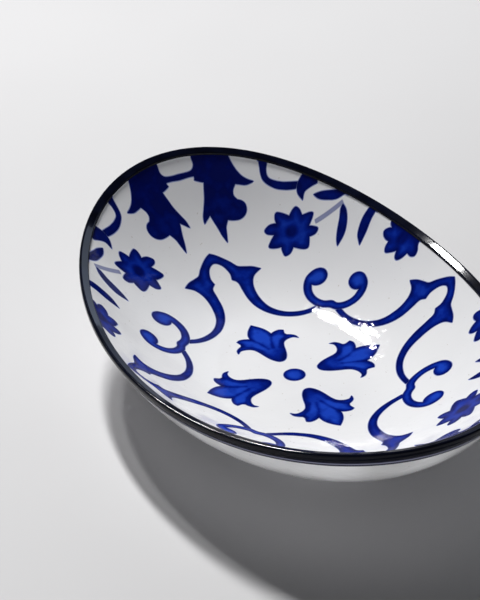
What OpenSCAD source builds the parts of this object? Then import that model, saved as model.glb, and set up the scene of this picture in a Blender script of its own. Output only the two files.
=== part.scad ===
// Oval porcelain soy sauce dish with raised ends, a dark banded lip and a blue tulip ornament inside.
// Millimetres. The dish stands on z = 0, its long axis lies on X and its centre is over the origin.

/* [Dish] */
// Length of the dish over the lip
dish_l = 110; // [100:1:124]
// Width of the dish over the lip
dish_w = 72.5; // [66:0.5:82]
// Height of the two raised ends
end_h = 24.5; // [22:0.5:28]
// Height of the two low sides
side_h = 18.5; // [17:0.5:21]
// Thickness of the floor
floor_t = 3; // [2.4:0.1:3.6]
// Thickness of the lip
lip_t = 1.6; // [1.5:0.1:2.2]
// Radius of the two corners of the lip
lip_round = 0.35; // [0.25:0.05:0.5]
// Tilt of the flat top of the lip towards the inside, in degrees
lip_tilt = 20; // [10:1:24]
// Share of the inside that is flat floor
flat_share = 0.29; // [0.22:0.01:0.34]
// Share of the underside that is flat
under_share = 0.3; // [0.24:0.01:0.34]
// Fullness of the outer wall, where a smaller number makes it stand steeper at the lip
wall_fullness = 1.12; // [1.08:0.01:1.25]

/* [Foot] */
// Height of the hollow inside the foot ring
foot_h = 1.6; // [1.2:0.1:2]
// Size of the foot ring as a share of the dish
foot_share = 0.5; // [0.45:0.01:0.56]
// Width of the foot ring
foot_w = 2.8; // [2.2:0.1:3.4]
// Slant of each flank of the foot ring
foot_slant = 0.4; // [0.2:0.1:0.6]

/* [Colour layers] */
// Thickness of the fired colour
layer_t = 0.15; // [0.1:0.01:0.2]
// Space between the glaze and the colour
seat = 0.1; // [0.09:0.01:0.14]
// Width of the dark band on the inner side of the lip
band_in = 0.5; // [0.3:0.1:0.8]
// Width of the dark band on the outer side of the lip
band_out = 1.8; // [1.2:0.1:2.2]

/* [Ornament] */
// Radius of the dot at the centre
dot_r = 1.9; // [1.4:0.1:2.4]
// Number of petals of a daisy
petals = 8; // [7:1:10]
// Mean radius of a daisy
daisy_r = 3.7; // [3.2:0.1:4]
// Depth of the notches between the petals
petal_notch = 0.9; // [0.6:0.1:1.1]
// Half width of the scroll lines
line_w = 0.85; // [0.6:0.05:0.95]

/* [Hidden] */
// Steps around the oval
around = 80;
// Steps up the outer wall, round each corner of the lip and along the inside
wall_steps = 8;
lip_steps = 4;
inside_steps = 12;
// Semi axes of the outer wall at the lip, with room left for the dark band
skin = seat + layer_t;
out_a = dish_l / 2 - skin;
out_b = dish_w / 2 - skin;
lip_r = lip_t / 2;
// Semi axes of the inside at the lip
in_a = out_a - lip_t;
in_b = out_b - lip_t;
floor_z = foot_h + floor_t;
// Heights of the lip's middle line at the ends and at the sides
end_z = end_h - skin - lip_r;
side_z = side_h - skin - lip_r;
// How much a motif of the long axis is drawn in when it is laid along the short axis
side_pull = 0.07;
// Share of the inside that the ornament may fill before it meets the dark band
room = 1 - (band_in + 2 * skin) / in_b;
// Least half width of a line at its tip
tip_w = 0.08;
// Colour of the ornament
blue = "#1a2f8f";

// The inside rises from its flat floor as a parabola.
function inner_rise(s) = pow(max(0, s - flat_share) / (1 - flat_share), 2);
// The outside rises as part of a circle, steepest at the lip.
function outer_x(s) = max(0, s - under_share) / (1 - under_share);
function arc_drop(x) = wall_fullness - sqrt(pow(wall_fullness, 2) - pow(x, 2));
function outer_rise(s) = arc_drop(outer_x(s)) / arc_drop(1);

// Every ring is an oval: two semi axes, then its height at the sides and at the ends.
function ring_point(r, t) = [r[0] * cos(t), r[1] * sin(t), r[2] + (r[3] - r[2]) * pow(cos(t), 2)];
function inner_z(s, top) = floor_z + (top - floor_z) * inner_rise(s);
function outer_z(s, top) = foot_h + (top - foot_h) * outer_rise(s);
function inner_ring(s, off = 0) =
    [in_a * s - off, in_b * s - off, inner_z(s, side_z), inner_z(s, end_z)];
function outer_ring(s, off = 0) =
    [out_a * s + off, out_b * s + off, outer_z(s, side_z), outer_z(s, end_z)];
// The lip: a round outer corner, a flat top that falls a little towards the inside, and a round inner corner.
corner_gap = lip_t - 2 * lip_round;
function lip_corner(out, up, turn, r) = [
    out_a - lip_round - out + r * cos(turn), out_b - lip_round - out + r * cos(turn),
    side_z + up + r * sin(turn), end_z + up + r * sin(turn)
];
function lip_rings(off = 0) = let (r = lip_round + off, up = lip_r - lip_round, flat = 90 + lip_tilt) concat(
    [for (i = [0 : lip_steps]) lip_corner(0, up, flat * i / lip_steps, r)],
    [for (i = [0 : lip_steps])
        lip_corner(corner_gap, up - corner_gap * tan(lip_tilt), flat + (180 - flat) * i / lip_steps, r)]
);
function backwards(list) = [for (i = [len(list) - 1 : -1 : 0]) list[i]];

// Height of the inside over any point of the plan.
function share(p) = norm([p[0] / in_a, p[1] / in_b]);
function inside_z(p) =
    let (s = share(p), c = s > 0 ? pow(p[0] / in_a / s, 2) : 0)
    inner_z(s, side_z + (end_z - side_z) * c);

// The ornament is stretched to the dish and stops short of the dark band.
function stretched(p) = [p[0] * stretch_x, p[1] * stretch_y];
function fit(p) = let (q = stretched(p), s = share(q)) s > room ? q * room / s : q;

// A smooth curve through hand-set points.
function blend(a, b, c, d, t) =
    ((2 * b) + (c - a) * t + (2 * a - 5 * b + 4 * c - d) * t * t + (3 * b - a - 3 * c + d) * t * t * t) / 2;
function clamp_i(i, n) = min(max(i, 0), n - 1);
function wrap_i(i, n) = (i + n) % n;
function curve(p, k) = let (n = len(p)) [
    for (i = [0 : n - 2], j = [0 : k - 1])
        blend(p[clamp_i(i - 1, n)], p[i], p[i + 1], p[clamp_i(i + 2, n)], j / k),
    p[n - 1]
];
function loop_curve(p, k) = let (n = len(p)) [
    for (i = [0 : n - 1], j = [0 : k - 1])
        blend(p[wrap_i(i - 1, n)], p[i], p[wrap_i(i + 1, n)], p[wrap_i(i + 2, n)], j / k)
];

// Places of a motif: mirrored and turned copies of a list of plan points.
function flip_x(p) = [for (q = p) concat([-q[0], q[1]], tail(q))];
function flip_y(p) = [for (q = p) concat([q[0], -q[1]], tail(q))];
function drawn_in(x) = x * (1 - side_pull * pow(x / plan_b, 2));
function swap(p) = [for (q = p) concat([q[1], drawn_in(q[0])], tail(q))];
function tail(q) = len(q) > 2 ? [q[3], q[2]] : [];
function four(p) = [p, flip_x(p), flip_y(p), flip_x(flip_y(p))];
function ends(p) = [p, flip_x(p)];
function quarter_turns(p) = [p, flip_x(p), swap(p), flip_y(swap(p))];

// A mesh is a pair: its points and its faces. Several are joined into one list of separate solids.
function shift_faces(f, n) = [for (face = f) [for (i = face) i + n]];
function join(m, i = 0, points = [], faces = []) =
    i == len(m) ? [points, faces] :
    join(m, i + 1, concat(points, m[i][0]), concat(faces, shift_faces(m[i][1], len(points))));

function low(p) = [p[0], p[1], inside_z(p) + seat];
function high(p) = [p[0], p[1], inside_z(p) + skin];
function turn_sum(o) = let (n = len(o)) [
    for (i = [0 : n - 1]) o[i][0] * o[(i + 1) % n][1] - o[(i + 1) % n][0] * o[i][1]
] * [for (i = [0 : n - 1]) 1];
function anticlockwise(o) = turn_sum(o) > 0 ? o : [for (i = [len(o) - 1 : -1 : 0]) o[i]];

// Where the way from a point inside the room to a point outside it meets the edge of the room.
function at_edge(p, q) =
    let (
        from = [p[0] / in_a, p[1] / in_b],
        way = [(q[0] - p[0]) / in_a, (q[1] - p[1]) / in_b],
        lean = from * way,
        left = room * room - from * from
    )
    p + (q - p) * (sqrt(lean * lean + way * way * left) - lean) / (way * way);
// An outline without what would lie under the band.
function cut(o) = [
    for (i = [0 : len(o) - 1])
        let (p = o[i], q = o[(i + 1) % len(o)], p_in = share(p) < room, q_in = share(q) < room)
        each concat(p_in ? [p] : [], p_in == q_in ? [] : [p_in ? at_edge(p, q) : at_edge(q, p)])
];
function mean(p) = [for (q = p) 1] * p / len(p);

// A blot: a filled outline fanned out from its middle, lying on the inside of the dish.
function blot(outline, middle) =
    let (
        o = anticlockwise(cut([for (p = outline) stretched(p)])),
        n = len(o),
        c = is_undef(middle) ? mean(o) : stretched(middle)
    )
    [
        concat([for (p = o) low(p)], [for (p = o) high(p)], [low(c), high(c)]),
        [for (i = [0 : n - 1]) let (k = (i + 1) % n) each [
            [2 * n, i, k],
            [2 * n + 1, n + k, n + i],
            [i, n + i, n + k],
            [i, n + k, k]
        ]]
    ];

// A line: a strip with its own width on each side, lying on the inside of the dish.
function side_step(c, i) =
    let (d = c[min(i + 1, len(c) - 1)] - c[max(i - 1, 0)], v = [d[0], d[1]] / norm([d[0], d[1]]))
    [-v[1], v[0]];
function left_of(c, i) = [c[i][0], c[i][1]] + side_step(c, i) * max(c[i][2], tip_w);
function right_of(c, i) = [c[i][0], c[i][1]] - side_step(c, i) * max(c[i][3], tip_w);
// A line that comes from under the band starts where both of its sides are clear of the band.
function reach(c, i) = max(share(stretched(left_of(c, i))), share(stretched(right_of(c, i))));
function from_band(c, i = 0) =
    i + 2 < len(c) && reach(c, i) > room ? from_band(c, i + 1) : [for (k = [i : len(c) - 1]) c[k]];
function line_solid(c) =
    let (
        n = len(c),
        left = [for (i = [0 : n - 1]) fit(left_of(c, i))],
        right = [for (i = [0 : n - 1]) fit(right_of(c, i))]
    )
    [
        concat([for (p = left) low(p)], [for (p = right) low(p)],
            [for (p = left) high(p)], [for (p = right) high(p)]),
        concat(
            [for (i = [0 : n - 2]) each [
                [i, n + i, i + 1], [i + 1, n + i, n + i + 1],
                [2 * n + i, 2 * n + i + 1, 3 * n + i], [2 * n + i + 1, 3 * n + i + 1, 3 * n + i],
                [i, i + 1, 2 * n + i + 1], [i, 2 * n + i + 1, 2 * n + i],
                [n + i, 3 * n + i, 3 * n + i + 1], [n + i, 3 * n + i + 1, n + i + 1]
            ]],
            [[0, 2 * n, 3 * n], [0, 3 * n, n]],
            [[2 * n - 1, 4 * n - 1, 3 * n - 1], [2 * n - 1, 3 * n - 1, n - 1]]
        )
    ];

module solids(m) {
    polyhedron(points = m[0], faces = m[1], convexity = 10);
}

// Hand-set outlines, in plan millimetres, in the quarter where x and y are positive.
// The outermost motifs come first, because the plan ends a little way past them.
palmette = [
    [51.6, 4], [50.3, 3.7], [49.3, 3], [48, 4.4], [45.8, 3.4], [42.2, 1.7], [43, 3.4], [37.8, 4.4],
    [41.2, 5.9], [40.5, 8.6], [41.6, 10.4], [43.2, 10], [44.5, 9.2], [45.9, 10.2], [44.9, 13.1],
    [47, 11.6], [49.6, 10.8], [51.4, 9.8]
];
palmette_middle = [48.5, 5.3];
daisy_place = [33.6, 16.4];
side_daisy_place = [16.1, 31.8];
// Distance to the lip from the top of the palmettes and from the middle of the side daisies
end_gap = 1.55;
side_gap = 2.6;
// Semi axes of the plan that the ornament is drawn for, and its stretch to this dish
plan_a = max([for (q = palmette) q[0]]) + end_gap;
plan_b = side_daisy_place[1] + side_gap;
stretch_x = in_a / plan_a;
stretch_y = in_b / plan_b;

tulip_half = [
    [5, 0], [5.6, 1.1], [7.6, 2.1], [9.8, 2.8], [11.3, 4.2], [11, 6.1], [12.2, 5.5],
    [12.8, 4.6], [14.3, 4.8], [14.2, 2.4], [16.4, 1.5], [18.2, 0]
];
tulip = concat(tulip_half, [for (i = [len(tulip_half) - 2 : -1 : 1]) [tulip_half[i][0], -tulip_half[i][1]]]);
tulip_middle = [11.8, 0];
// Lines: each point has its place and the width of the line on its left and on its right.
thorn = 4;
nub = 1.5;
thin_w = line_w * 0.75;
bold_w = line_w * 1.2;
ogee_half = [
    [35.6, 0, bold_w, bold_w], [34.7, 1.8, bold_w, bold_w], [32.9, 2.9, bold_w, bold_w],
    [31, 3.6, nub, thorn], [29.4, 3.95, bold_w, 1.8], [26, 3.9, line_w, line_w], [22.5, 4.4, line_w, line_w],
    [19.6, 6.3, line_w, line_w], [17.6, 9.2, line_w, line_w], [16.9, 12.6, thin_w, thin_w]
];
ogee_back = [for (i = [len(ogee_half) - 1 : -1 : 1]) let (q = ogee_half[i]) [q[0], -q[1], q[2], q[3]]];
ogee = concat(ogee_back, ogee_half);
curl_tip = 0.3;
curl_ball = 1.35;
curl_half = [
    [21.6, 17.9, curl_tip, curl_tip], [22.5, 17.2, curl_ball, curl_ball], [23.3, 16, curl_ball, curl_ball],
    [22.9, 14.6, bold_w, bold_w], [21.2, 13.6, line_w, line_w], [19.2, 13.5, thin_w, thin_w],
    [17.2, 14.4, thin_w, thin_w], [15.85, 15.85, thin_w, thin_w]
];
curl_back = [
    for (i = [len(curl_half) - 2 : -1 : 0]) let (q = curl_half[i]) [q[1], drawn_in(q[0]), q[2], q[3]]
];
curl = concat(curl_half, curl_back);
stem_w = 0.3;
stem = [[32, 21.5, stem_w, stem_w], [31.7, 23.5, stem_w, stem_w], [31.4, 25.3, stem_w, stem_w]];
leaf_in = [[30.5, 26.2], [28.4, 25.8], [26.6, 24.3], [25.7, 22.4], [27.8, 23.5], [29.4, 24.9]];
leaf_out = [[32.5, 26.9], [32.7, 25.9], [33.9, 24.4], [35.9, 22.8], [34.9, 24.7], [33.6, 26.2]];
leaf_side = [[25.6, 29.5], [24.7, 29], [23.6, 27.5], [22.6, 25.7], [24.3, 26.2], [25.5, 27.5], [26, 28.6]];
bridge = [[50.2, -2.4, tip_w, stem_w], [50.3, 0, stem_w, stem_w], [50.2, 2.4, tip_w, stem_w]];
loop_w = 0.5;
loop_line = [
    [45.6, 16.4, loop_w, loop_w], [44.4, 15.9, loop_w, loop_w], [42.8, 16.6, loop_w, loop_w],
    [41.5, 17.8, loop_w, loop_w], [40.4, 19.3, loop_w, loop_w]
];
bud = [
    [37, 20.6], [37.9, 21.5], [37.6, 23.3], [38.7, 23.2], [39.6, 22.3], [39.5, 21.2], [38.9, 20.5], [38, 20.4]
];
bud_middle = [38.6, 21.7];

// How far in from its own middle a daisy that the band cuts off is fanned out
eye_step = daisy_r * 0.4;
function daisy(c) = [
    for (i = [0 : petals * 6 - 1]) let (t = i * 60 / petals)
        c + (daisy_r + petal_notch * cos(petals * t)) * [cos(t), sin(t)]
];
function blots(places, k) = join([for (p = places) blot(loop_curve(p, k))]);
// A motif with its own middle carries that middle as its first point.
function with_middle(p, c, k) = concat([c], loop_curve(p, k));
function fans(places) = join([for (p = places) blot([for (i = [1 : len(p) - 1]) p[i]], p[0])]);

// The porcelain: underside, foot ring, outer wall, lip, inside and floor in one closed skin.
module dish_body() {
    foot_a = out_a * foot_share;
    foot_b = out_b * foot_share;
    rings = concat(
        [[foot_a - foot_w, foot_b - foot_w, foot_h, foot_h]],
        [[foot_a - foot_w + foot_slant, foot_b - foot_w + foot_slant, 0, 0]],
        [[foot_a - foot_slant, foot_b - foot_slant, 0, 0]],
        [for (i = [0 : wall_steps - 1]) outer_ring(foot_share + (1 - foot_share) * i / wall_steps)],
        lip_rings(),
        [for (i = [inside_steps - 1 : -1 : 1]) inner_ring(i / inside_steps)]
    );
    n = len(rings);
    last = (n - 1) * around;
    points = concat(
        [for (r = rings, i = [0 : around - 1]) ring_point(r, 360 * i / around)],
        [[0, 0, foot_h], [0, 0, floor_z]]
    );
    faces = concat(
        [for (k = [0 : n - 2], i = [0 : around - 1]) let (j = (i + 1) % around) each [
            [k * around + i, (k + 1) * around + j, k * around + j],
            [k * around + i, (k + 1) * around + i, (k + 1) * around + j]
        ]],
        [for (i = [0 : around - 1]) [n * around, i, (i + 1) % around]],
        [for (i = [0 : around - 1]) [n * around + 1, last + (i + 1) % around, last + i]]
    );
    color("white") solids([points, faces]);
}

// The dark band: a thin skin over the lip, a little way down both sides.
module rim_band() {
    in_s = 1 - band_in / in_b;
    out_s = 1 - band_out / out_b / 2;
    rings = concat(
        [outer_ring(out_s, skin)],
        lip_rings(skin),
        [inner_ring(in_s, skin)],
        [inner_ring(in_s, seat)],
        backwards(lip_rings(seat)),
        [outer_ring(out_s, seat)]
    );
    n = len(rings);
    points = [for (r = rings, i = [0 : around - 1]) ring_point(r, 360 * i / around)];
    faces = [for (k = [0 : n - 1], i = [0 : around - 1]) let (j = (i + 1) % around, m = (k + 1) % n) each [
        [k * around + i, m * around + j, k * around + j],
        [k * around + i, m * around + i, m * around + j]
    ]];
    color("#10121c") solids([points, faces]);
}

module centre_dot() {
    color(blue) solids(blot([for (t = [0 : 15 : 345]) dot_r * [cos(t), sin(t)]], [0, 0]));
}

module tulips() {
    color(blue) solids(fans(quarter_turns(with_middle(tulip, tulip_middle, 3))));
}

module ogee_frame() {
    color(blue) solids(join([for (p = quarter_turns(curve(ogee, 3))) line_solid(p)]));
}

module scroll_curls() {
    color(blue) solids(join([for (p = four(curve(curl, 3))) line_solid(p)]));
}

module daisies() {
    whole = [for (p = four([daisy_place])) blot(daisy(p[0]), p[0])];
    // The band cuts these off near their middle, so they are fanned out from a point further in.
    halves = [for (p = four([side_daisy_place])) blot(daisy(p[0]), p[0] * (1 - eye_step / norm(p[0])))];
    color(blue) solids(join(concat(whole, halves)));
}

module daisy_stems() {
    color("#55608f") solids(join([for (p = four(curve(stem, 3))) line_solid(p)]));
}

module leaf_sprays() {
    color(blue) solids(blots(concat(four(leaf_in), four(leaf_out), four(leaf_side)), 3));
}

module palmettes() {
    color(blue) solids(fans(four(with_middle(palmette, palmette_middle, 3))));
    color(blue) solids(join([for (p = ends(curve(bridge, 3))) line_solid(p)]));
}

module rim_loops() {
    color(blue) solids(join([for (p = four(curve(loop_line, 3))) line_solid(from_band(p))]));
}

module rim_buds() {
    color(blue) solids(fans(four(with_middle(bud, bud_middle, 3))));
}

dish_body();
rim_band();
centre_dot();
tulips();
ogee_frame();
scroll_curls();
daisies();
daisy_stems();
leaf_sprays();
palmettes();
rim_loops();
rim_buds();
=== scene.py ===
# %% [markdown]
# A soy sauce dish in blue and white porcelain
#
# The object is a small oval dish: one piece of white porcelain with two raised ends, a dark band over
# the lip, and a blue ornament of tulips, scrolls, daisies and leaves fired onto the inside.
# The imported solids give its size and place. This lesson builds a smooth porcelain form over them,
# lays the ornament on it as thin inlays, gives every surface its finish, and lights the scene.

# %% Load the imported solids
import math

import bmesh
import bpy
import numpy as np
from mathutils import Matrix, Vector


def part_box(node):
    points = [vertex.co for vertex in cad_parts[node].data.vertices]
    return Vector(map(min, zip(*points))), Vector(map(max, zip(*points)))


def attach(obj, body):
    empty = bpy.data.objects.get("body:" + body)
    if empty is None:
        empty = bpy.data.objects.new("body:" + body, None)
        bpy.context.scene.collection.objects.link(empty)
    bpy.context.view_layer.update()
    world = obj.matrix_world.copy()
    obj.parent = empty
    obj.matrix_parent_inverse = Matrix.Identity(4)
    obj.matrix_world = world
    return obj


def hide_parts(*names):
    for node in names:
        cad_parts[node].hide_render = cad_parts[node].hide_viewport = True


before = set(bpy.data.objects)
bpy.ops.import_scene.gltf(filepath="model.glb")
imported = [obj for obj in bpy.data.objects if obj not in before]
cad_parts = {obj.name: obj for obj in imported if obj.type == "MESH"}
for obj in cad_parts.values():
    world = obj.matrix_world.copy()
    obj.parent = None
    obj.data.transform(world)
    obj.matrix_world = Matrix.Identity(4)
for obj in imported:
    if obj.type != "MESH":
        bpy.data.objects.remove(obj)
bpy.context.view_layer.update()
MM = 0.001
print("solids:", sorted(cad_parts))

# %% [markdown]
# The camera comes first, so that every later choice can be judged from the view that matters.
# It looks down on the dish at about a third of a right angle, from beside one raised end, through a
# long lens. A long lens keeps the far end nearly as large as the near end, as close product views do.
# The point that is easiest to find in any view is the dot on the floor, so the camera is placed from
# where that dot falls in the picture.

# %% Camera
AZIMUTH = math.radians(63.85)
ELEVATION = math.radians(33.0)
PICTURE = (480, 600)
LENS_PX = 2900
PX_PER_M = 590 / 0.110
DOT_PX = (294.5, 374.8)
FLOOR = 4.6

to_right = Vector((math.cos(AZIMUTH), math.sin(AZIMUTH), 0))
away = Vector((-math.sin(AZIMUTH), math.cos(AZIMUTH), 0))
to_back = away * -math.cos(ELEVATION) + Vector((0, 0, math.sin(ELEVATION)))
to_up = to_back.cross(to_right)

shift_right = (DOT_PX[0] - PICTURE[0] / 2) / PX_PER_M
shift_up = -(DOT_PX[1] - PICTURE[1] / 2) / PX_PER_M
eye = Vector((0, 0, FLOOR * MM)) + to_back * (LENS_PX / PX_PER_M)
eye -= to_right * shift_right + to_up * shift_up

camera_data = bpy.data.cameras.new("camera")
camera_data.sensor_fit = "VERTICAL"
camera_data.sensor_height = 24
camera_data.lens = LENS_PX / PICTURE[1] * camera_data.sensor_height
camera_data.clip_start = 0.01
camera = bpy.data.objects.new("camera", camera_data)
bpy.context.scene.collection.objects.link(camera)
camera.location = eye
camera.rotation_euler = to_back.to_track_quat("Z", "Y").to_euler()
bpy.context.scene.camera = camera
print("camera stands", [round(c, 3) for c in eye], "lens", round(camera_data.lens, 1), "mm")

# %% [markdown]
# The form of the dish is a section that changes as it goes round. The inside rises from a flat floor
# as a parabola, the outside as part of a circle that is steepest at the lip. Every ring of the dish is
# an oval that is higher at its two ends than at its two sides, so a ring needs four numbers: two semi
# axes, its height at the sides and its height at the ends. The outer sizes are read from the packed
# porcelain, so the smooth form stays on it. All lengths here are in millimetres.

# %% Section of the dish
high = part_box("dish_body")[1]
OUT_A, OUT_B = high.x / MM, high.y / MM
LIP_R = 0.8
END_RISE = 6
END_Z = high.z / MM - LIP_R
SIDE_Z = END_Z - END_RISE
IN_A, IN_B = OUT_A - 2 * LIP_R, OUT_B - 2 * LIP_R
FOOT_H = 1.6
FLAT_SHARE, UNDER_SHARE, FULLNESS = 0.29, 0.3, 1.12


def inner_rise(s):
    return (max(0.0, s - FLAT_SHARE) / (1 - FLAT_SHARE)) ** 2


def arc_drop(x):
    return FULLNESS - math.sqrt(FULLNESS ** 2 - x * x)


def outer_rise(s):
    return arc_drop(max(0.0, s - UNDER_SHARE) / (1 - UNDER_SHARE)) / arc_drop(1)


def oval_ring(a, b, base, rise):
    """The semi axes of a ring, its height at the sides and its height at the ends."""
    return a, b, base + (SIDE_Z - base) * rise, base + (END_Z - base) * rise


def inner_ring(s, off=0.0):
    return oval_ring(IN_A * s - off, IN_B * s - off, FLOOR, inner_rise(s))


def outer_ring(s, off=0.0):
    return oval_ring(OUT_A * s + off, OUT_B * s + off, FOOT_H, outer_rise(s))


def inside_height(x, y):
    s = math.hypot(x / IN_A, y / IN_B)
    end_part = (x / IN_A / s) ** 2 if s > 0 else 0.0
    return FLOOR + (SIDE_Z + (END_Z - SIDE_Z) * end_part - FLOOR) * inner_rise(s)


print("porcelain", round(2 * OUT_A, 2), "by", round(2 * OUT_B, 2), "mm")
print("inside half way to an end", round(inside_height(IN_A / 2, 0), 2), "mm high")

# %% [markdown]
# The lip of the real dish is flat on top and falls towards the inside, with a small rounded corner on
# either side. A plain round lip would be easier, but it would turn every light into one thin line. The
# flat top mirrors a whole pane of light, and so it can carry the bright stretch that shows on the far
# side. Two more rings close to the corners keep the top flat when it is shaded smooth.

# %% Lip
LIP_TILT, OUT_ROUND, IN_ROUND = 20, 0.3, 0.2
CORNER_STEPS = 8
HOLD = 0.06


def corner_rings(centre, up, radius, first, last):
    found = []
    for i in range(CORNER_STEPS + 1):
        turn = math.radians(first + (last - first) * i / CORNER_STEPS)
        out = centre + radius * math.cos(turn)
        rise = up + radius * math.sin(turn)
        found.append((OUT_A + out, OUT_B + out, SIDE_Z + rise, END_Z + rise))
    return found


def lip_rings(off=0.0):
    """A round outer corner, a flat top that falls towards the inside, and a round inner corner."""
    tilt = math.radians(LIP_TILT)
    gap = 2 * LIP_R - OUT_ROUND - IN_ROUND
    outer_up = LIP_R - OUT_ROUND
    inner_up = outer_up + (OUT_ROUND - IN_ROUND) / math.cos(tilt) - gap * math.tan(tilt)
    outer = corner_rings(-OUT_ROUND, outer_up, OUT_ROUND + off, 0, 90 + LIP_TILT)
    inner = corner_rings(-OUT_ROUND - gap, inner_up, IN_ROUND + off, 90 + LIP_TILT, 180)
    start, end = np.array(outer[-1]), np.array(inner[0])
    top = [tuple(start + (end - start) * share) for share in (HOLD, 1 - HOLD)]
    return outer + top + inner


lip = lip_rings()
print("lip of", len(lip), "rings, highest at an end", round(max(ring[3] for ring in lip), 2), "mm")

# %% [markdown]
# A turner would make a round dish by spinning one section, and so does bmesh's spin. The oval comes
# after it: each point of the section carries the radius and height that its ring has at the sides, the
# spin copies those two values round, and then every point moves from its circle to its oval. One helper
# makes the porcelain and the dark band alike, because both are rings of the same dish. A ring may also
# bring a tone, which is stored as "wash" for the finish to read.

# %% Spin a section into an oval
SPIN_STEPS = 256


def finish_piece(name, bm):
    """Turn a bmesh into an object of the scene that rides on the dish."""
    mesh = bpy.data.meshes.new(name)
    bm.to_mesh(mesh)
    bm.free()
    piece = bpy.data.objects.new(name, mesh)
    bpy.context.scene.collection.objects.link(piece)
    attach(piece, "root")
    print(name, len(mesh.polygons), "faces")
    return piece


def spin_oval(name, rings, closed):
    bm = bmesh.new()
    side_radius = bm.verts.layers.float.new("side_radius")
    side_height = bm.verts.layers.float.new("side_height")
    wash = bm.verts.layers.float.new("wash")
    line = []
    for a, b, z_side, z_end, *tone in rings:
        v = bm.verts.new((a, 0, z_end))
        v[side_radius] = b
        v[side_height] = z_side
        v[wash] = tone[0] if tone else 0.0
        line.append(v)
    pairs = list(zip(line, line[1:]))
    if closed:
        pairs.append((line[-1], line[0]))
    edges = [bm.edges.new(pair) for pair in pairs]
    bmesh.ops.spin(
        bm, geom=line + edges, cent=(0, 0, 0), axis=(0, 0, 1),
        angle=math.tau, steps=SPIN_STEPS, use_merge=True,
    )
    bmesh.ops.remove_doubles(bm, verts=bm.verts, dist=1e-5)
    for v in bm.verts:
        turn = math.atan2(v.co.y, v.co.x)
        radius = math.hypot(v.co.x, v.co.y)
        lift = v[side_height] + (v.co.z - v[side_height]) * math.cos(turn) ** 2
        v.co = (radius * math.cos(turn), v[side_radius] * math.sin(turn), lift)
    bmesh.ops.scale(bm, vec=(MM, MM, MM), verts=bm.verts)
    bmesh.ops.recalc_face_normals(bm, faces=bm.faces)
    for face in bm.faces:
        face.smooth = True
    for spent in ("side_radius", "side_height"):
        bm.verts.layers.float.remove(bm.verts.layers.float[spent])
    return finish_piece(name, bm)


print("a spin takes", SPIN_STEPS, "steps of", round(360 / SPIN_STEPS, 2), "degrees")

# %% [markdown]
# The porcelain runs from the middle of the underside, round the foot ring, up the outer wall, over the
# flat-topped lip and down the inside to the middle of the floor. A potter would throw or press it in
# one piece, so here it is one spun section as well. The foot ring's two lower edges are small rounds,
# because a fired edge is never sharp.

# %% Porcelain
FOOT_SHARE, FOOT_W, FOOT_SLANT, FOOT_ROUND = 0.5, 2.8, 0.4, 0.35
UNDER_STEPS, WALL_STEPS, INSIDE_STEPS = 10, 40, 60
LIP_HOLD = 0.994
QUARTER = [math.radians(90 * i / 4) for i in range(5)]
foot_a, foot_b = OUT_A * FOOT_SHARE, OUT_B * FOOT_SHARE


def under_ring(share):
    return (foot_a - FOOT_W) * share, (foot_b - FOOT_W) * share, FOOT_H, FOOT_H


def foot_ring(off, z):
    return foot_a + off, foot_b + off, z, z


rings = [under_ring(i / UNDER_STEPS) for i in range(UNDER_STEPS + 1)]
for turn in QUARTER:
    inset = FOOT_ROUND * (1 - math.cos(turn))
    rings.append(foot_ring(FOOT_SLANT - FOOT_W + inset, FOOT_ROUND * (1 - math.sin(turn))))
for turn in QUARTER:
    inset = FOOT_ROUND * (1 - math.sin(turn))
    rings.append(foot_ring(-FOOT_SLANT - inset, FOOT_ROUND * (1 - math.cos(turn))))
rings += [outer_ring(FOOT_SHARE + (1 - FOOT_SHARE) * i / WALL_STEPS) for i in range(WALL_STEPS + 1)]
rings += lip
rings += [inner_ring(1.0), inner_ring(LIP_HOLD)]
rings += [inner_ring(1 - i / INSIDE_STEPS) for i in range(1, INSIDE_STEPS + 1)]
porcelain = spin_oval("porcelain", rings, closed=False)
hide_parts("dish_body")

# %% [markdown]
# The dark band is colour that is painted over the lip. It is made as a thin skin that follows the flat
# top and both corners, so its section is a closed loop of two lines, the inner one a little inside the
# porcelain. It reaches a little way down the outer wall, ends just under the lip on the inside, and
# thins out at both edges. Near its lower outer edge its colour is painted navy and then a lighter grey
# in a thin line. That is too fine for a mesh of its own, so the rings there only carry a tone.

# %% Dark band over the lip
BAND_T, BAND_SINK, FEATHER = 0.1, 0.05, 0.3
IN_REACH, OUT_REACH = 0.06, 0.95
IN_EDGE, OUT_EDGE = 1 - IN_REACH / IN_B, 1 - OUT_REACH / OUT_B
EDGE_STEPS, IN_FADE, OUT_FADE = 4, 2, 3
# Tones of the lowest outer rings: a navy edge, then a painted lighter grey line, then black.
LOWER_EDGE_TONES = (0.5, 0.5, 0.5, 1.0, 0.6, 0.0, 0.0, 0.0)

band = []
for i, tone in enumerate(LOWER_EDGE_TONES):
    share = OUT_EDGE + (1 - OUT_EDGE) * i / len(LOWER_EDGE_TONES)
    band.append(outer_ring(share, BAND_T * min(1.0, FEATHER + i / OUT_FADE)) + (tone,))
band += [outer_ring(1.0, BAND_T)] + lip_rings(BAND_T)
for i in range(1, EDGE_STEPS + 1):
    share = 1 - (1 - IN_EDGE) * i / EDGE_STEPS
    band.append(inner_ring(share, BAND_T * min(1.0, FEATHER + (EDGE_STEPS - i) / IN_FADE)))
band += [inner_ring(IN_EDGE + (1 - IN_EDGE) * i / EDGE_STEPS, -BAND_SINK) for i in range(EDGE_STEPS)]
band += lip_rings(-BAND_SINK)[::-1]
band += [outer_ring(1 - (1 - OUT_EDGE) * i / EDGE_STEPS, -BAND_SINK) for i in range(1, EDGE_STEPS + 1)]
lip_band = spin_oval("lip_band", band, closed=True)
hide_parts("rim_band")
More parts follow.
